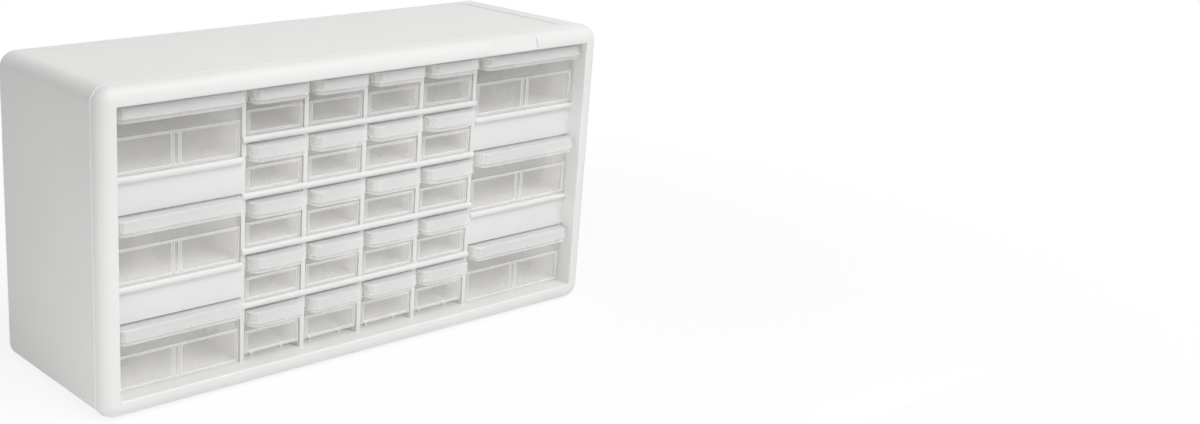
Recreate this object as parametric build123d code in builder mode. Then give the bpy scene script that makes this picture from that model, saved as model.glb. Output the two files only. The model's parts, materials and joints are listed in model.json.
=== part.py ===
from build123d import *
import os
from math import sqrt

# A desktop cabinet of small parts drawers: a moulded case with a rounded front ring, a nest of
# walls and shelves inside it, and translucent drawers that slide out to the front (-Y).
# Millimetres, +Z up, origin under the middle of the cabinet.

# Case
cabinet_width = 508.0
cabinet_height = 258.0
cabinet_depth = 158.0
corner_radius = 14.0
shell_wall = 2.5
rear_flange_width = 6.0
rear_flange_thickness = 2.0
stack_recess_width = 448.0
stack_recess_depth = 0.4
stack_recess_margin = 6.0
foot_rail_width = 16.0
foot_rail_margin = 12.0

# Front ring
bezel_border = 15.5
bezel_depth = 14.5
bezel_front_radius = 11.0
bezel_lip_radius = 1.5
bezel_proud = 0.5
bezel_wall = 2.5
bezel_ridge_width = 1.8
bezel_ridge_proud = 0.8
bezel_ridge_radius = 0.6
label_pad_width = 53.0
label_pad_height = 10.6
label_pad_middle = 150.5
label_pad_margin = 0.3
label_pad_drop = 0.6
least_flat = 0.1
opening_corner_radius = 1.0

# Nest of walls and shelves
liner_thickness = 3.0
column_wall_thickness = 3.6
partition_thickness = 4.0
wall_front_depth = 15.0
stop_depth = 18.0
shelf_thickness = 3.0
nose_height = 5.4
nose_reach = 2.6
nose_end_radius = 1.0
groove_depth = 1.2
fit_clearance = 0.1
small_columns = 4
small_rows = 5
large_rows = 3
large_column_modules = 2
large_slot_height = 56.0
runner_height = 4.9
runner_width = 2.0
runner_spacing = 30.0
runner_margin = 5.0
back_thickness = 2.5
keyhole_head_radius = 4.5
keyhole_slot_radius = 2.3
keyhole_drop = 9.0

# Drawers
pane_depth = 15.8
drawer_side_gap = 0.5
drawer_lift = 0.3
drawer_head_gap = 0.9
drawer_rear_gap = 1.5
drawer_travel = 130.0
stop_gap = 0.3
stop_catch = 1.6
stop_tab_width = 22.0
front_thickness = 2.0
side_thickness = 1.6
floor_thickness = 1.8
rear_thickness = 1.8
side_drop = 3.0
drawer_corner_radius = 1.0
drawer_base_radius = 0.8
tray_corner_radius = 2.0
hood_height = 13.0
hood_lip_height = 4.0
hood_lip_inset = 2.0
hood_reach = 13.3
hood_wall = 1.8
hood_corner_radius = 8.5
hood_lean = 1.5
hood_crown_radius = 2.2
hood_crease_step = 0.6
hood_crease_radius = 0.4
hood_rim_radius = 0.5
bead_width = 1.4
bead_proud = 0.7
bead_edge_radius = 0.35
label_post_width = 2.4
label_side_inset = 1.2
label_low_inset = 1.2
small_label_gap = 6.3
large_label_gap = 13.2
label_split = 6.4

# Sizes and places worked out from those above
front_y = -cabinet_depth / 2
opening_width = cabinet_width - 2 * bezel_border
opening_height = cabinet_height - 2 * bezel_border
opening_low = bezel_border
opening_high = cabinet_height - bezel_border
opening_middle = cabinet_height / 2
shell_inset = bezel_proud + shell_wall
back_panel_front = cabinet_depth - rear_flange_thickness - back_thickness
nest_depth = back_panel_front - stop_depth
lap_depth = (wall_front_depth + back_panel_front) / 2
nose_drop = nose_height - shelf_thickness
ceiling_low = opening_high + nose_drop
module = opening_width / (small_columns + 2 * large_column_modules)
row_pitch = (opening_height - runner_height + nose_height) / small_rows
small_slot_height = row_pitch - nose_height
large_pitch = (opening_height - large_slot_height) / (large_rows - 1)
column_wall_x = module * small_columns / 2
small_block_half = column_wall_x - column_wall_thickness / 2
large_inner_x = column_wall_x + column_wall_thickness / 2
large_outer_x = opening_width / 2
large_bay_width = large_outer_x - large_inner_x
partition_xs = [module * (n - small_columns / 2) for n in range(1, small_columns)]
small_shelf_tops = [opening_low + runner_height + row_pitch * n for n in range(1, small_rows)]
large_shelf_tops = [opening_low + large_pitch * n for n in range(1, large_rows)]
drawer_length = back_panel_front - drawer_rear_gap - pane_depth
stop_tab_depth = pane_depth + drawer_length - stop_depth - drawer_travel - stop_gap
bezel_round = min(
    bezel_front_radius,
    corner_radius - bezel_ridge_proud - least_flat,
    bezel_depth - bezel_ridge_width - least_flat,
)
bezel_groove_inset = bezel_ridge_proud + bezel_wall

os.makedirs("parts", exist_ok=True)


def at_depth(depth):
    """The upright plane at a given depth behind the cabinet's front, with x and z as its axes."""
    return Plane.XZ.offset(-(front_y + depth))


def save(piece, name):
    """Labels a finished piece and writes it under its own name."""
    piece.label = name
    export_step(piece, f"parts/{name}.step")


def face_at(faces, axis, place):
    """The flat face square to an axis that lies nearest a given place along it."""
    return min(faces.filter_by(axis), key=lambda face: abs(face.center().dot(axis.direction) - place))


def rounding_depth(rise):
    """How far behind the front the ring's rounding lies, at a given rise above the middle of its arc."""
    return bezel_round - sqrt(bezel_round**2 - rise**2)


def framed(inset, mode=Mode.ADD):
    """A rounded rectangle that follows the cabinet's outline at a given distance inside it."""
    width = cabinet_width - 2 * inset
    height = cabinet_height - 2 * inset
    with Locations((0, cabinet_height / 2)):
        RectangleRounded(width, height, corner_radius - inset, mode=mode)


# Case shell: the wrap of top, bottom and sides, with a flange at the rear
shell_length = cabinet_depth - bezel_depth
with BuildPart() as case_shell:
    with BuildSketch(at_depth(bezel_depth)):
        framed(bezel_proud)
    extrude(amount=-shell_length)
    with BuildSketch(at_depth(bezel_depth)):
        framed(shell_inset)
    extrude(amount=-(shell_length - rear_flange_thickness), mode=Mode.SUBTRACT)
    with BuildSketch(at_depth(bezel_depth)):
        framed(shell_inset + rear_flange_width)
    extrude(amount=-shell_length, mode=Mode.SUBTRACT)
    # Shallow recess in the top, where another cabinet's foot rails settle
    recess_length = shell_length - 2 * stack_recess_margin
    recess_middle = front_y + bezel_depth + shell_length / 2
    with BuildSketch(Plane.XY.offset(cabinet_height - bezel_proud)):
        with Locations((0, recess_middle)):
            RectangleRounded(stack_recess_width, recess_length, stack_recess_margin)
    extrude(amount=-stack_recess_depth, mode=Mode.SUBTRACT)
    # Foot rails that bring the shell's underside level with the front ring
    foot_length = shell_length - 2 * foot_rail_margin
    foot_x = stack_recess_width / 2 - foot_rail_width
    with BuildSketch(Plane.XY):
        with Locations((-foot_x, recess_middle), (foot_x, recess_middle)):
            SlotOverall(foot_length, foot_rail_width, rotation=90)
    extrude(amount=bezel_proud + shell_wall / 2)
save(case_shell.part, "case_shell")

# Front bezel: a rounded ring, hollow behind, with a bead round its rear edge and a sleeve in its opening
bezel_groove_floor = rounding_depth(bezel_round - bezel_wall) + bezel_wall
with BuildPart() as front_bezel:
    with BuildSketch(at_depth(0)):
        framed(bezel_ridge_proud)
    extrude(amount=-bezel_depth)
    fillet(front_bezel.faces().sort_by(Axis.Y)[0].edges(), bezel_round)
    with BuildSketch(at_depth(bezel_depth - bezel_ridge_width)):
        framed(0)
        framed(bezel_ridge_proud, Mode.SUBTRACT)
    extrude(amount=-bezel_ridge_width)
    ridge_front = face_at(front_bezel.faces(), Axis.Y, front_y + bezel_depth - bezel_ridge_width)
    fillet(ridge_front.outer_wire().edges(), bezel_ridge_radius)
    with BuildSketch(at_depth(bezel_groove_floor)):
        framed(bezel_groove_inset)
        with Locations((0, opening_middle)):
            Rectangle(
                opening_width + 2 * liner_thickness,
                opening_height + 2 * liner_thickness,
                mode=Mode.SUBTRACT,
            )
    extrude(amount=-bezel_depth, mode=Mode.SUBTRACT)
    with BuildSketch(at_depth(bezel_groove_floor)):
        with Locations((0, opening_middle)):
            Rectangle(opening_width + 2 * liner_thickness, opening_height + 2 * liner_thickness)
    extrude(amount=-(stop_depth - bezel_groove_floor))
    with BuildSketch(at_depth(0)):
        with Locations((0, opening_middle)):
            RectangleRounded(opening_width, opening_height, opening_corner_radius)
    extrude(amount=-stop_depth, mode=Mode.SUBTRACT)
    lip_edges = front_bezel.faces().sort_by(Axis.Y)[0].inner_wires()[0].edges()
    fillet(lip_edges, bezel_lip_radius)
    # Flat pad for a label, cut across the rounding of the top bar
    pad_low = opening_high + bezel_lip_radius + label_pad_margin
    pad_high = pad_low + label_pad_height
    pad_high_depth = rounding_depth(pad_high - (cabinet_height - bezel_ridge_proud - bezel_round))
    with BuildSketch(Plane.YZ.offset(label_pad_middle - label_pad_width / 2)):
        with BuildLine():
            Polyline(
                (front_y - label_pad_drop, pad_low),
                (front_y + label_pad_drop, pad_low),
                (front_y + pad_high_depth, pad_high),
                (front_y - label_pad_drop, pad_high),
                close=True,
            )
        make_face()
    extrude(amount=label_pad_width, mode=Mode.SUBTRACT)
save(front_bezel.part, "front_bezel")

# Back panel: held between the rear flange and the nest, with two keyholes for hanging
panel_inset = shell_inset + fit_clearance
keyhole_x = (large_inner_x + large_outer_x) / 2
keyhole_z = large_shelf_tops[-1] - shelf_thickness - keyhole_drop
with BuildPart() as back_panel:
    with BuildSketch(at_depth(back_panel_front)):
        framed(panel_inset)
        with Locations((-keyhole_x, keyhole_z - keyhole_drop), (keyhole_x, keyhole_z - keyhole_drop)):
            Circle(keyhole_head_radius, mode=Mode.SUBTRACT)
        with Locations((-keyhole_x, keyhole_z), (keyhole_x, keyhole_z)):
            Circle(keyhole_slot_radius, mode=Mode.SUBTRACT)
            Rectangle(
                2 * keyhole_slot_radius,
                keyhole_drop,
                align=(Align.CENTER, Align.MAX),
                mode=Mode.SUBTRACT,
            )
    extrude(amount=-back_thickness)
save(back_panel.part, "back_panel")

# Inner floor, with runner ribs that lift the bottom row of small drawers
nest_half_width = large_outer_x + liner_thickness
small_bay_middles = [module * (n - (small_columns - 1) / 2) for n in range(small_columns)]
runner_places = [
    (middle + side * runner_spacing / 2, front_y + stop_depth + runner_margin)
    for middle in small_bay_middles
    for side in (-1, 1)
]
with BuildPart() as floor_panel:
    with BuildSketch(Plane.XY.offset(opening_low - liner_thickness)):
        with Locations((0, front_y + stop_depth)):
            Rectangle(2 * nest_half_width, nest_depth, align=(Align.CENTER, Align.MIN))
    extrude(amount=liner_thickness)
    with BuildSketch(Plane.XY.offset(opening_low)):
        with Locations(*runner_places):
            Rectangle(runner_width, nest_depth - 2 * runner_margin, align=(Align.CENTER, Align.MIN))
    extrude(amount=runner_height)
save(floor_panel.part, "floor_panel")

# Inner ceiling
with BuildPart() as ceiling_panel:
    with BuildSketch(Plane.XY.offset(ceiling_low)):
        with Locations((0, front_y + stop_depth)):
            Rectangle(2 * nest_half_width, nest_depth, align=(Align.CENTER, Align.MIN))
    extrude(amount=liner_thickness)
save(ceiling_panel.part, "ceiling_panel")


def cut_grooves(face_x, side, tops):
    """Cuts the grooves that hold the ends of shelves into an upright face, which looks towards side."""
    for top in tops:
        with BuildSketch(at_depth(stop_depth)) as groove:
            with Locations((face_x, top + fit_clearance)):
                Rectangle(
                    groove_depth + fit_clearance,
                    shelf_thickness + 2 * fit_clearance,
                    align=(Align.MAX if side > 0 else Align.MIN, Align.MAX),
                )
        extrude(groove.sketch, amount=-nest_depth, mode=Mode.SUBTRACT)


# Side liners: the outer walls of the two wide columns
for side, name in ((-1, "side_liner_left"), (1, "side_liner_right")):
    with BuildPart() as side_liner:
        with BuildSketch(at_depth(stop_depth)):
            with Locations((side * (large_outer_x + liner_thickness / 2), opening_low)):
                Rectangle(liner_thickness, ceiling_low - opening_low, align=(Align.CENTER, Align.MIN))
        extrude(amount=-nest_depth)
        cut_grooves(side * large_outer_x, -side, large_shelf_tops)
    save(side_liner.part, name)


def upright(x, thickness):
    """An upright wall of the nest, notched at its top front corner round the bezel's sleeve."""
    with BuildSketch(at_depth(wall_front_depth)) as front_strip:
        with Locations((x, opening_low)):
            Rectangle(thickness, opening_height, align=(Align.CENTER, Align.MIN))
    extrude(front_strip.sketch, amount=-(back_panel_front - wall_front_depth))
    with BuildSketch(at_depth(stop_depth)) as main_wall:
        with Locations((x, opening_low)):
            Rectangle(thickness, ceiling_low - opening_low, align=(Align.CENTER, Align.MIN))
    extrude(main_wall.sketch, amount=-nest_depth)


# Column walls: between the wide columns and the block of small drawers
for side, name in ((-1, "column_wall_left"), (1, "column_wall_right")):
    with BuildPart() as column_wall:
        upright(side * column_wall_x, column_wall_thickness)
        cut_grooves(side * large_inner_x, side, large_shelf_tops)
        cut_grooves(side * small_block_half, -side, small_shelf_tops)
    save(column_wall.part, name)

# Partitions: between the small columns, slotted from the front for the shelves
for x, name in zip(partition_xs, ("partition_left", "partition_middle", "partition_right")):
    with BuildPart() as partition:
        upright(x, partition_thickness)
        for top in small_shelf_tops:
            with BuildSketch(at_depth(wall_front_depth)):
                with Locations((x, top + fit_clearance)):
                    Rectangle(
                        partition_thickness,
                        nose_height + 2 * fit_clearance,
                        align=(Align.CENTER, Align.MAX),
                    )
            extrude(amount=-(stop_depth + fit_clearance - wall_front_depth), mode=Mode.SUBTRACT)
            with BuildSketch(at_depth(wall_front_depth)):
                with Locations((x, top + fit_clearance)):
                    Rectangle(
                        partition_thickness,
                        shelf_thickness + 2 * fit_clearance,
                        align=(Align.CENTER, Align.MAX),
                    )
            extrude(amount=-(lap_depth - wall_front_depth), mode=Mode.SUBTRACT)
    save(partition.part, name)


def shelf_nose(left, right, top, back_depth):
    """The rounded bar along a shelf's front edge, from left to right and back to a given depth."""
    with BuildSketch(Plane.YZ.offset(left)) as profile:
        with Locations((front_y + wall_front_depth - nose_reach, top)):
            Rectangle(
                back_depth - wall_front_depth + nose_reach,
                nose_height,
                align=(Align.MIN, Align.MAX),
            )
        nose_radius = min((nose_height - least_flat) / 2, nose_reach - least_flat)
        fillet(profile.vertices().group_by(Axis.X)[0], nose_radius)
    extrude(profile.sketch, amount=right - left)


def shelf_plate(left, right, top):
    """The flat plate of a shelf, behind its rounded bar."""
    with BuildSketch(Plane.XY.offset(top - shelf_thickness)) as plate:
        with Locations((left, front_y + stop_depth)):
            Rectangle(right - left, nest_depth, align=(Align.MIN, Align.MIN))
    extrude(plate.sketch, amount=shelf_thickness)


# Small shelves: one bar in front of all four small columns, its ends over the column walls
for number, top in enumerate(small_shelf_tops, start=1):
    with BuildPart() as small_shelf:
        shelf_nose(-large_inner_x, large_inner_x, top, wall_front_depth)
        tips = small_shelf.faces().filter_by(Axis.X)
        for tip in tips:
            fillet(tip.edges().sort_by(Axis.Y)[:-1], nose_end_radius)
        shelf_nose(-small_block_half, small_block_half, top, stop_depth)
        shelf_plate(-small_block_half - groove_depth, small_block_half + groove_depth, top)
        for x in partition_xs:
            with BuildSketch(Plane.XY.offset(top)):
                with Locations((x, front_y + lap_depth)):
                    Rectangle(
                        partition_thickness + 2 * fit_clearance,
                        nest_depth,
                        align=(Align.CENTER, Align.MIN),
                    )
            extrude(amount=-shelf_thickness, mode=Mode.SUBTRACT)
    save(small_shelf.part, f"small_shelf_{number}")

# Large shelves: a bar and plate like the small ones, with a blank panel hanging below the bar
panel_height = large_pitch - large_slot_height
for side, side_name in ((-1, "left"), (1, "right")):
    left, right = sorted((side * large_inner_x, side * large_outer_x))
    for top, level in zip(large_shelf_tops, ("lower", "upper")):
        with BuildPart() as large_shelf:
            shelf_nose(left, right, top, stop_depth)
            shelf_plate(left - groove_depth, right + groove_depth, top)
            with BuildSketch(at_depth(wall_front_depth)):
                with Locations((left, top - nose_height / 2)):
                    Rectangle(
                        right - left,
                        panel_height - nose_height / 2,
                        align=(Align.MIN, Align.MAX),
                    )
            extrude(amount=-(stop_depth - wall_front_depth))
        save(large_shelf.part, f"large_shelf_{side_name}_{level}")


def hood_section(width, inset, lean=0):
    """The hood's outline from above, a given distance inside its crease, with its front leant back."""
    reach = hood_reach - inset - lean
    outline = Rectangle(width - 2 * inset, reach, align=(Align.CENTER, Align.MAX))
    fillet(outline.vertices().group_by(Axis.Y)[0], hood_corner_radius - inset)


def make_hood(inset, top, crease, rim, width):
    """The finger hood as a full form, at a given distance inside its own outer surface."""
    with BuildPart() as hood:
        # Face that leans back from the crease up to the crown
        with BuildSketch(Plane.XY.offset(crease)):
            hood_section(width, inset)
        with BuildSketch(Plane.XY.offset(top - inset)):
            hood_section(width, inset, hood_lean)
        loft()
        crown_edges = hood.faces().sort_by(Axis.Z)[-1].edges().sort_by(Axis.Y)[:-1]
        fillet(crown_edges, hood_crown_radius - inset)
        crease_edges = hood.faces().sort_by(Axis.Z)[0].edges().sort_by(Axis.Y)[:-1]
        fillet(crease_edges, hood_crease_radius)
        # Lip that starts a small step behind the crease and turns in towards its rim
        with BuildSketch(Plane.XY.offset(crease)):
            hood_section(width, inset + hood_crease_step)
        with BuildSketch(Plane.XY.offset(rim)):
            hood_section(width, inset + hood_lip_inset)
        loft()
    return hood.part


def make_drawer(width, height, stop_top, label_gap, label_panes):
    """One drawer, its face's front plane at y = 0, its underside at z = 0 and its middle at x = 0."""
    side_height = height - side_drop
    rim = height - hood_height
    crease = rim + hood_lip_height
    hood = make_hood(0, height, crease, rim, width)
    finger_space = make_hood(hood_wall, height, crease, rim, width)
    with BuildPart() as drawer:
        with BuildSketch(Plane.XY) as outline:
            Rectangle(width, drawer_length, align=(Align.CENTER, Align.MIN))
            fillet(outline.vertices(), drawer_corner_radius)
        extrude(amount=side_height)
        fillet(drawer.faces().sort_by(Axis.Z)[0].edges(), drawer_base_radius)
        with BuildSketch(Plane.XY.offset(side_height)) as face_plate:
            Rectangle(width, front_thickness, align=(Align.CENTER, Align.MIN))
            fillet(face_plate.vertices().group_by(Axis.Y)[0], drawer_corner_radius)
        extrude(amount=side_drop)
        with BuildSketch(Plane.XY.offset(floor_thickness)) as tray:
            with Locations((0, front_thickness)):
                Rectangle(
                    width - 2 * side_thickness,
                    drawer_length - front_thickness - rear_thickness,
                    align=(Align.CENTER, Align.MIN),
                )
            fillet(tray.vertices(), tray_corner_radius)
        extrude(amount=height, mode=Mode.SUBTRACT)
        # Stop tab that stands on the rear wall and catches the bar above when the drawer is pulled out
        with BuildSketch(Plane.XY.offset(side_height)):
            with Locations((0, drawer_length)):
                Rectangle(stop_tab_width, stop_tab_depth, align=(Align.CENTER, Align.MAX))
        extrude(amount=stop_top - side_height)
        # Finger hood, open below, with a rounded crown and a lip that turns in under its crease
        add(hood)
        add(finger_space, mode=Mode.SUBTRACT)
        rim_face = face_at(drawer.faces(), Axis.Z, rim)
        # All of the rim's edges but the two short ones, where it meets the drawer's face
        fillet(rim_face.edges().sort_by(Axis.Y)[:-2], hood_rim_radius)
        # Raised beads and posts on the face that frame one label, or two with a strip between them
        label_width = width - 2 * label_side_inset
        label_high = rim - label_gap
        frame_height = label_high - label_low_inset
        frame_middle = (label_high + label_low_inset) / 2
        with BuildSketch(Plane.XZ):
            with Locations((0, frame_middle)):
                Rectangle(label_width, frame_height)
                Rectangle(
                    label_width - 2 * label_post_width,
                    frame_height - 2 * bead_width,
                    mode=Mode.SUBTRACT,
                )
                if label_panes > 1:
                    with GridLocations(label_split, 0, 2, 1):
                        Rectangle(label_post_width, frame_height)
        extrude(amount=bead_proud)
        bead_face = face_at(drawer.faces(), Axis.Y, -bead_proud)
        fillet(bead_face.edges(), bead_edge_radius)
    return drawer.part


small_bay_width = module - partition_thickness / 2 - column_wall_thickness / 2
small_drawer = make_drawer(
    small_bay_width - 2 * drawer_side_gap,
    small_slot_height - drawer_lift - drawer_head_gap,
    small_slot_height - drawer_lift + stop_catch,
    small_label_gap,
    1,
)
large_drawer = make_drawer(
    large_bay_width - 2 * drawer_side_gap,
    large_slot_height - drawer_lift - drawer_head_gap,
    large_slot_height - drawer_lift + stop_catch,
    large_label_gap,
    2,
)


def place(prototype, name, x, z):
    """Sets a copy of a drawer in its slot."""
    with BuildPart() as placed:
        with Locations((x, front_y + pane_depth, z + drawer_lift)):
            add(prototype)
    save(placed.part, name)


# Small drawers, rows counted from the top and columns from the left
wall_faces = [-small_block_half]
for x in partition_xs:
    wall_faces += [x - partition_thickness / 2, x + partition_thickness / 2]
wall_faces.append(small_block_half)
for row in range(small_rows):
    slot_floor = opening_low + runner_height + row_pitch * (small_rows - 1 - row)
    for column in range(small_columns):
        middle = (wall_faces[2 * column] + wall_faces[2 * column + 1]) / 2
        place(small_drawer, f"small_drawer_row{row + 1}_col{column + 1}", middle, slot_floor)

# Large drawers, three on each side
for side, side_name in ((-1, "left"), (1, "right")):
    for row, level in enumerate(("bottom", "middle", "top")):
        slot_floor = opening_low + large_pitch * row
        middle = side * (large_inner_x + large_outer_x) / 2
        place(large_drawer, f"large_drawer_{side_name}_{level}", middle, slot_floor)
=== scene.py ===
"""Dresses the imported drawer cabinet: moulded plastics, a pale studio and the photograph's camera."""
import json
import math

import bpy
from mathutils import Matrix, Vector


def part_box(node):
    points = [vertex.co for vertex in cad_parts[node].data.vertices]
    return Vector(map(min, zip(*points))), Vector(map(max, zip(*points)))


# Camera, fitted to the cabinet's outline in the photograph (metres, degrees, pixels, sensor in millimetres)
CAMERA_PLACE = (-0.7607, -0.9998, 0.4944)
CAMERA_AZIMUTH = 36.661
CAMERA_ELEVATION = 17.232
CAMERA_ROLL = 1.242
CAMERA_FOCAL_PIXELS = 1522.929
PHOTO_WIDTH = 1200
SENSOR_WIDTH = 36.0
CAMERA_SHIFT_X = 0.25
CAMERA_CLIP = (0.01, 50.0)

# White plastics: lightest and darkest tone, roughness from and to, strength of the surface grain
CASE_TONES = ((0.80, 0.80, 0.79), (0.78, 0.78, 0.77))
CASE_ROUGHNESS = (0.42, 0.52)
CASE_GRAIN = 0.10
FRAME_TONES = ((0.77, 0.77, 0.765), (0.75, 0.75, 0.745))
FRAME_ROUGHNESS = (0.36, 0.46)
FRAME_GRAIN = 0.06

# Drawer plastic: tones, gloss, and the share of light that each kind of surface stops, with a painted
# reflection and painted light on the hoods and painted highlights along each edge line
DRAWER_TONES = ((0.96, 0.945, 0.915), (0.94, 0.925, 0.895))
DRAWER_ROUGHNESS = (0.10, 0.16)
DRAWER_GRAIN = 0.01
DRAWER_SPECULAR = 0.8
# Painted reflection: this cool tone on the hoods' faces and crowns stands in for the overhead light's
# reflection and the light from above
HOOD_REFLECTION_TONE = (0.76, 0.77, 0.785)
# Painted highlight: this white tone along each edge line of the drawers
EDGE_HIGHLIGHT_TONE = (0.98, 0.98, 0.975)
PANE_HAZE = (0.25, 0.31)
# Real denser haze on the hoods, raised here partly as painted reflection and painted light on their faces
# and crowns
HOOD_HAZE_AND_PAINTED_LIGHT = 0.50
LABEL_HAZE = 0.38
# Painted highlight: this near-opaque haze along each edge line of the drawers
EDGE_HIGHLIGHT_HAZE = 0.90

# Haze scatters most light onwards, so this share of it is kept where the plastic casts a shadow
SHADOW_HAZE = 0.2

# All plastics: scale and detail of each pattern, span of the raw noise, height of the grain (metres), IOR
CLOUD_PATTERN = (14.0, 3.0)
GLOSS_PATTERN = (60.0, 4.0)
GRAIN_PATTERN = (1800.0, 2.0)
HAZE_PATTERN = (22.0, 2.0)
NOISE_SPAN = (0.3, 0.7)
GRAIN_HEIGHT = 0.0002
PLASTIC_IOR = 1.49

# Painted highlights on the drawers' edge lines: reach in metres, samples, and how far rounding turns the
# surface (as a cosine)
EDGE_REACH = 0.0013
EDGE_SAMPLES = 8
EDGE_COSINES = (0.99, 0.82)

# Depths behind the hoods' fronts (metres) where faces and crowns end, and label frames begin and end; the
# faces and crowns carry the hoods' painted reflection and painted light
HOOD_FACE_DEPTH = (0.0020, 0.0027)
HOOD_CROWN_DEPTH = (0.0115, 0.0125)
LABEL_FRONT_DEPTH = (0.0121, 0.0123)
LABEL_BACK_DEPTH = (0.0127, 0.0130)

# How far a hood faces up at its lip and crown, and the square of how far it faces sideways at its ends,
# which bound the hoods' painted reflection and painted light
LIP_TILT = (-0.25, -0.10)
CROWN_TILT = (0.30, 0.70)
HOOD_END_TURN = (0.06, 0.20)

# Lamps: place, point aimed at and size in metres, and power in watts
KEY_LAMP = {
    "place": (0.2, -1.15, 2.08),
    "target": (0, 0, 0.12),
    "size": (1.6, 1.2),
    "power": 35.0,
}
FRONT_CARD = {
    "place": (0.0, -0.40, 0.01),
    "target": (0, -0.05, 0.08),
    "size": (0.9, 0.35),
    "power": 0.38,
}
SIDE_CARD = {
    "place": (-0.46, -0.16, 0.01),
    "target": (-0.25, -0.04, 0.03),
    "size": (0.4, 0.3),
    "power": 0.3,
}

# A narrow beam along the front, which brightens the inner walls that face left
LEFT_LAMP = {
    "place": (-0.6, -0.25, 0.13),
    "target": (0.238, -0.07, 0.13),
    "size": (0.1, 0.3),
    "power": 0.025,
    "spread": math.radians(20),
}

# Studio: strengths of its even light and of plain white, and how many clear layers a ray may pass
ROOM_STRENGTH = 0.35
WHITE_STRENGTH = 1.0
CLEAR_LAYERS = 48

# White floor, and how the shadow fades out of it (metres from the middle)
FLOOR_TONE = 0.92
FLOOR_ROUGHNESS = 0.9
FLOOR_SPECULAR = 0.0
FLOOR_REACH = 12.0
SHADOW_REACH = (0.35, 0.9)
FLOOR_WHITENESS = (0.85, 1.0)

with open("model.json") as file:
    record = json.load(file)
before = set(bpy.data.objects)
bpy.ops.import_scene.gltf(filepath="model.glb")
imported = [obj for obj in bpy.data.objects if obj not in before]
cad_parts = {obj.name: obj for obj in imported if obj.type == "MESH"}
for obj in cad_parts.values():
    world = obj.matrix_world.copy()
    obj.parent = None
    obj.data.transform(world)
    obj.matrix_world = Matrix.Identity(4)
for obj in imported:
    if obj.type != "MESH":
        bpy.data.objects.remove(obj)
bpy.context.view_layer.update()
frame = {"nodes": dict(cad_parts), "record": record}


def new_material(name):
    """An empty node material with a Principled shader wired to its output."""
    material = bpy.data.materials.new(name)
    material.use_nodes = True
    nodes = material.node_tree.nodes
    links = material.node_tree.links
    nodes.clear()
    output = nodes.new("ShaderNodeOutputMaterial")
    shader = nodes.new("ShaderNodeBsdfPrincipled")
    links.new(shader.outputs["BSDF"], output.inputs["Surface"])
    return material, nodes, links, shader


def map_range(nodes, links, value, source, target=(0.0, 1.0)):
    """Carries a linked number from one range to another and holds it at the ends."""
    mapping = nodes.new("ShaderNodeMapRange")
    mapping.inputs["From Min"].default_value = source[0]
    mapping.inputs["From Max"].default_value = source[1]
    mapping.inputs["To Min"].default_value = target[0]
    mapping.inputs["To Max"].default_value = target[1]
    links.new(value, mapping.inputs["Value"])
    return mapping.outputs["Result"]


def combine(nodes, links, operation, first, second):
    """Joins two linked numbers by a named operation."""
    joined = nodes.new("ShaderNodeMath")
    joined.operation = operation
    links.new(first, joined.inputs[0])
    links.new(second, joined.inputs[1])
    return joined.outputs["Value"]


def separate(nodes, links, vector):
    """The X, Y and Z of a linked vector."""
    parts = nodes.new("ShaderNodeSeparateXYZ")
    links.new(vector, parts.inputs["Vector"])
    return parts.outputs


def noise(nodes, links, coordinates, pattern, target=(0.0, 1.0)):
    """Soft random patches in the object's own metres, carried to a range of numbers."""
    scale, detail = pattern
    texture = nodes.new("ShaderNodeTexNoise")
    texture.inputs["Scale"].default_value = scale
    texture.inputs["Detail"].default_value = detail
    links.new(coordinates, texture.inputs["Vector"])
    return map_range(nodes, links, texture.outputs["Fac"], NOISE_SPAN, target)


def mix_tone(nodes, links, mask, first, second):
    """A colour that goes from a linked or plain one to a plain one as a mask rises."""
    mixed = nodes.new("ShaderNodeMix")
    mixed.data_type = "RGBA"
    if isinstance(first, tuple):
        mixed.inputs["A"].default_value = (*first, 1.0)
    else:
        links.new(first, mixed.inputs["A"])
    mixed.inputs["B"].default_value = (*second, 1.0)
    links.new(mask, mixed.inputs["Factor"])
    return mixed.outputs["Result"]


def mix_number(nodes, links, mask, first, second):
    """A number that goes from a linked one to a plain one as a mask rises."""
    mixed = nodes.new("ShaderNodeMix")
    mixed.data_type = "FLOAT"
    links.new(first, mixed.inputs["A"])
    mixed.inputs["B"].default_value = second
    links.new(mask, mixed.inputs["Factor"])
    return mixed.outputs["Result"]


def moulded_plastic(name, tones, roughness, grain):
    """A moulded plastic: faint cloudy colour, uneven gloss and a fine surface grain."""
    material, nodes, links, shader = new_material(name)
    lightest, darkest = tones
    place = nodes.new("ShaderNodeTexCoord").outputs["Object"]
    cloud = noise(nodes, links, place, CLOUD_PATTERN)
    links.new(mix_tone(nodes, links, cloud, darkest, lightest), shader.inputs["Base Color"])
    links.new(noise(nodes, links, place, GLOSS_PATTERN, roughness), shader.inputs["Roughness"])
    bump = nodes.new("ShaderNodeBump")
    bump.inputs["Strength"].default_value = grain
    bump.inputs["Distance"].default_value = GRAIN_HEIGHT
    links.new(noise(nodes, links, place, GRAIN_PATTERN), bump.inputs["Height"])
    links.new(bump.outputs["Normal"], shader.inputs["Normal"])
    shader.inputs["IOR"].default_value = PLASTIC_IOR
    return material, nodes, links, shader


def painted_edge_highlights(nodes, links):
    """Mask for painted highlights: one at a sharp or tightly rounded edge of the surface, and nought a
    short reach away from it.
    """
    rounded = nodes.new("ShaderNodeBevel")
    rounded.samples = EDGE_SAMPLES
    rounded.inputs["Radius"].default_value = EDGE_REACH
    surface = nodes.new("ShaderNodeNewGeometry")
    turn = nodes.new("ShaderNodeVectorMath")
    turn.operation = "DOT_PRODUCT"
    links.new(rounded.outputs["Normal"], turn.inputs[0])
    links.new(surface.outputs["Normal"], turn.inputs[1])
    return map_range(nodes, links, turn.outputs["Value"], EDGE_COSINES)


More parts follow.
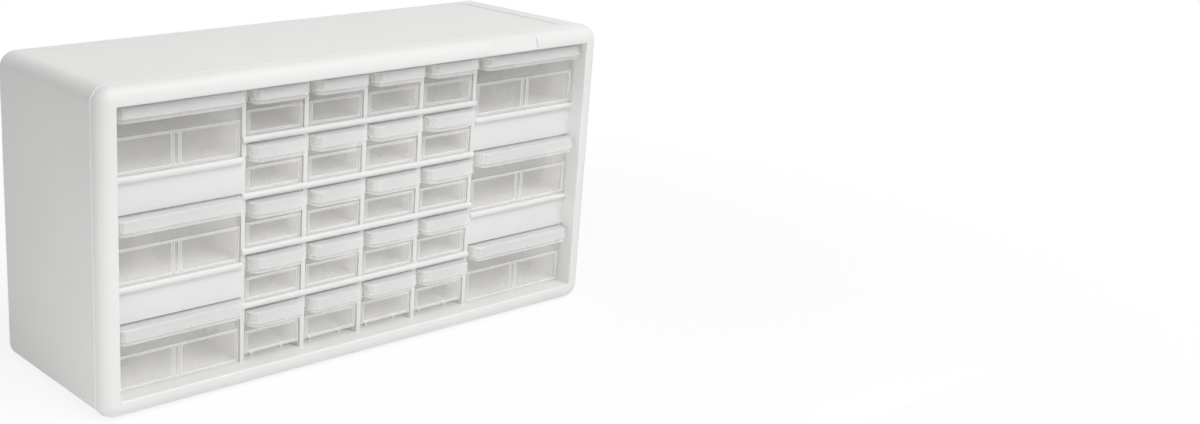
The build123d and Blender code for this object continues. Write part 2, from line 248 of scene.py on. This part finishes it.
def behind(nodes, links, depths):
    """Nought in front of a span of depths behind the hoods' fronts, and one behind it."""
    hood_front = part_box("large_drawer_left_top")[0].y
    place = nodes.new("ShaderNodeTexCoord").outputs["Object"]
    span = [hood_front + depth for depth in depths]
    return map_range(nodes, links, separate(nodes, links, place)["Y"], span)


def in_front(nodes, links, depths):
    """One in front of a span of depths behind the hoods' fronts, and nought behind it."""
    return behind(nodes, links, depths[::-1])


def hood_painted_light(nodes, links):
    """Mask for the hoods' painted reflection and painted light from above: one on the front and crown of
    the finger hoods, and nought on their lips and ends and elsewhere.
    """
    surface = nodes.new("ShaderNodeNewGeometry")
    normal = separate(nodes, links, surface.outputs["Normal"])
    sideways = combine(nodes, links, "MULTIPLY", normal["X"], normal["X"])
    between_ends = map_range(nodes, links, sideways, HOOD_END_TURN[::-1])
    near_front = in_front(nodes, links, HOOD_FACE_DEPTH)
    above_lip = map_range(nodes, links, normal["Z"], LIP_TILT)
    front = combine(nodes, links, "MULTIPLY", near_front, above_lip)
    front = combine(nodes, links, "MULTIPLY", front, between_ends)
    before_pane = in_front(nodes, links, HOOD_CROWN_DEPTH)
    facing_up = map_range(nodes, links, normal["Z"], CROWN_TILT)
    crown = combine(nodes, links, "MULTIPLY", before_pane, facing_up)
    return combine(nodes, links, "MAXIMUM", front, crown)


def label_frames(nodes, links):
    """One on the raised frames round the labels, and nought on the panes behind them."""
    behind_hoods = behind(nodes, links, LABEL_FRONT_DEPTH)
    before_panes = in_front(nodes, links, LABEL_BACK_DEPTH)
    return combine(nodes, links, "MULTIPLY", behind_hoods, before_panes)


def hazy_plastic(name):
    """Clear drawer plastic with a faint haze, denser on hoods and label frames, with a painted reflection
    and painted light from above on the hoods' faces and crowns, and painted highlights white along each
    edge line.
    """
    material, nodes, links, shader = moulded_plastic(name, DRAWER_TONES, DRAWER_ROUGHNESS, DRAWER_GRAIN)
    # Painted reflection and painted light from above on the hoods' faces and crowns
    hoods = hood_painted_light(nodes, links)
    plain_tone = shader.inputs["Base Color"].links[0].from_socket
    # Painted highlights along each edge line
    edge_highlights = painted_edge_highlights(nodes, links)
    tone = mix_tone(nodes, links, hoods, plain_tone, HOOD_REFLECTION_TONE)
    links.new(mix_tone(nodes, links, edge_highlights, tone, EDGE_HIGHLIGHT_TONE), shader.inputs["Base Color"])
    place = nodes.new("ShaderNodeTexCoord").outputs["Object"]
    haze = noise(nodes, links, place, HAZE_PATTERN, PANE_HAZE)
    haze = mix_number(nodes, links, hoods, haze, HOOD_HAZE_AND_PAINTED_LIGHT)
    haze = mix_number(nodes, links, label_frames(nodes, links), haze, LABEL_HAZE)
    # Edge lines made near-opaque as painted highlights
    haze = mix_number(nodes, links, edge_highlights, haze, EDGE_HIGHLIGHT_HAZE)
    casts_shadow = nodes.new("ShaderNodeLightPath").outputs["Is Shadow Ray"]
    thinning = map_range(nodes, links, casts_shadow, (0.0, 1.0), (1.0, SHADOW_HAZE))
    links.new(combine(nodes, links, "MULTIPLY", haze, thinning), shader.inputs["Alpha"])
    shader.inputs["Specular IOR Level"].default_value = DRAWER_SPECULAR
    return material


finish_of_slot = {
    "case_white": moulded_plastic("case_white", CASE_TONES, CASE_ROUGHNESS, CASE_GRAIN)[0],
    "frame_white": moulded_plastic("frame_white", FRAME_TONES, FRAME_ROUGHNESS, FRAME_GRAIN)[0],
    "drawer_frosted": hazy_plastic("drawer_frosted"),
}
for entry in frame["record"]["subparts"]:
    node = frame["nodes"][entry["node"]]
    node.data.materials.clear()
    node.data.materials.append(finish_of_slot[entry["material_slot"]])


def area_light(name, place, target, size, power, spread=math.pi):
    """A soft rectangular studio lamp that points at a target, with its light fanned out by a spread."""
    lamp = bpy.data.lights.new(name, "AREA")
    lamp.spread = spread
    lamp.shape = "RECTANGLE"
    lamp.size, lamp.size_y = size
    lamp.energy = power
    holder = bpy.data.objects.new(name, lamp)
    bpy.context.scene.collection.objects.link(holder)
    holder.location = place
    holder.rotation_euler = (Vector(target) - Vector(place)).to_track_quat("-Z", "Y").to_euler()
    return holder


def bounce_card(name, place, target, size, power):
    """A pale card near the floor that lights the cabinet, out of sight of the camera and of gloss."""
    card = area_light(name, place, target, size, power)
    card.visible_camera = False
    card.visible_glossy = False


area_light("key_lamp", **KEY_LAMP)
bounce_card("front_card", **FRONT_CARD)
area_light("left_lamp", **LEFT_LAMP)
bounce_card("side_card", **SIDE_CARD)


def seen_directly(nodes, links):
    """One for a ray from the camera, a mirror or clear plastic, and nought for a ray of soft light."""
    light_path = nodes.new("ShaderNodeLightPath").outputs
    mirrored = combine(nodes, links, "MAXIMUM", light_path["Is Camera Ray"], light_path["Is Glossy Ray"])
    return combine(nodes, links, "MAXIMUM", mirrored, light_path["Is Transmission Ray"])


def white_floor():
    """A pale floor that looks white from a distance and keeps the cabinet's soft shadow."""
    mesh = bpy.data.meshes.new("floor")
    corners = [(-1, -1), (1, -1), (1, 1), (-1, 1)]
    mesh.from_pydata([(x * FLOOR_REACH, y * FLOOR_REACH, 0) for x, y in corners], [], [(0, 1, 2, 3)])
    floor = bpy.data.objects.new("floor", mesh)
    bpy.context.scene.collection.objects.link(floor)
    material, nodes, links, shader = new_material("floor_white")
    mesh.materials.append(material)
    shader.inputs["Base Color"].default_value = (FLOOR_TONE, FLOOR_TONE, FLOOR_TONE, 1.0)
    shader.inputs["Roughness"].default_value = FLOOR_ROUGHNESS
    shader.inputs["Specular IOR Level"].default_value = FLOOR_SPECULAR
    paper = nodes.new("ShaderNodeEmission")
    distance = nodes.new("ShaderNodeVectorMath")
    distance.operation = "LENGTH"
    links.new(nodes.new("ShaderNodeTexCoord").outputs["Object"], distance.inputs[0])
    whiteness = map_range(nodes, links, distance.outputs["Value"], SHADOW_REACH, FLOOR_WHITENESS)
    whiteness.node.interpolation_type = "SMOOTHSTEP"
    share = combine(nodes, links, "MULTIPLY", seen_directly(nodes, links), whiteness)
    blend = nodes.new("ShaderNodeMixShader")
    output = shader.outputs["BSDF"].links[0].to_socket
    links.new(share, blend.inputs["Fac"])
    links.new(shader.outputs["BSDF"], blend.inputs[1])
    links.new(paper.outputs["Emission"], blend.inputs[2])
    links.new(blend.outputs["Shader"], output)


def white_studio():
    """An even studio light that the camera sees as plain white."""
    world = bpy.data.worlds.new("studio")
    bpy.context.scene.world = world
    world.use_nodes = True
    nodes = world.node_tree.nodes
    links = world.node_tree.links
    nodes.clear()
    output = nodes.new("ShaderNodeOutputWorld")
    mixed = nodes.new("ShaderNodeMixShader")
    links.new(seen_directly(nodes, links), mixed.inputs["Fac"])
    for socket, strength in ((1, ROOM_STRENGTH), (2, WHITE_STRENGTH)):
        light = nodes.new("ShaderNodeBackground")
        light.inputs["Color"].default_value = (1.0, 1.0, 1.0, 1.0)
        light.inputs["Strength"].default_value = strength
        links.new(light.outputs["Background"], mixed.inputs[socket])
    links.new(mixed.outputs["Shader"], output.inputs["Surface"])


def photograph_camera():
    """The camera, turned to the photograph's azimuth and elevation and rolled about its own view."""
    azimuth = math.radians(CAMERA_AZIMUTH)
    elevation = math.radians(CAMERA_ELEVATION)
    roll = math.radians(CAMERA_ROLL)
    level = math.cos(elevation)
    backward = Vector((-math.sin(azimuth) * level, -math.cos(azimuth) * level, math.sin(elevation)))
    level_right = Vector((0, 0, 1)).cross(backward).normalized()
    level_up = backward.cross(level_right)
    right = math.cos(roll) * level_right + math.sin(roll) * level_up
    up = math.cos(roll) * level_up - math.sin(roll) * level_right
    lens = bpy.data.cameras.new("camera")
    lens.sensor_fit = "HORIZONTAL"
    lens.sensor_width = SENSOR_WIDTH
    lens.lens = CAMERA_FOCAL_PIXELS / PHOTO_WIDTH * SENSOR_WIDTH
    lens.shift_x = CAMERA_SHIFT_X
    lens.clip_start, lens.clip_end = CAMERA_CLIP
    camera = bpy.data.objects.new("camera", lens)
    bpy.context.scene.collection.objects.link(camera)
    turn = Matrix((right, up, backward)).transposed().to_4x4()
    camera.matrix_world = Matrix.Translation(CAMERA_PLACE) @ turn
    bpy.context.scene.camera = camera


white_floor()
white_studio()
photograph_camera()
bpy.context.scene.view_settings.view_transform = "Standard"
bpy.context.scene.cycles.transparent_max_bounces = CLEAR_LAYERS
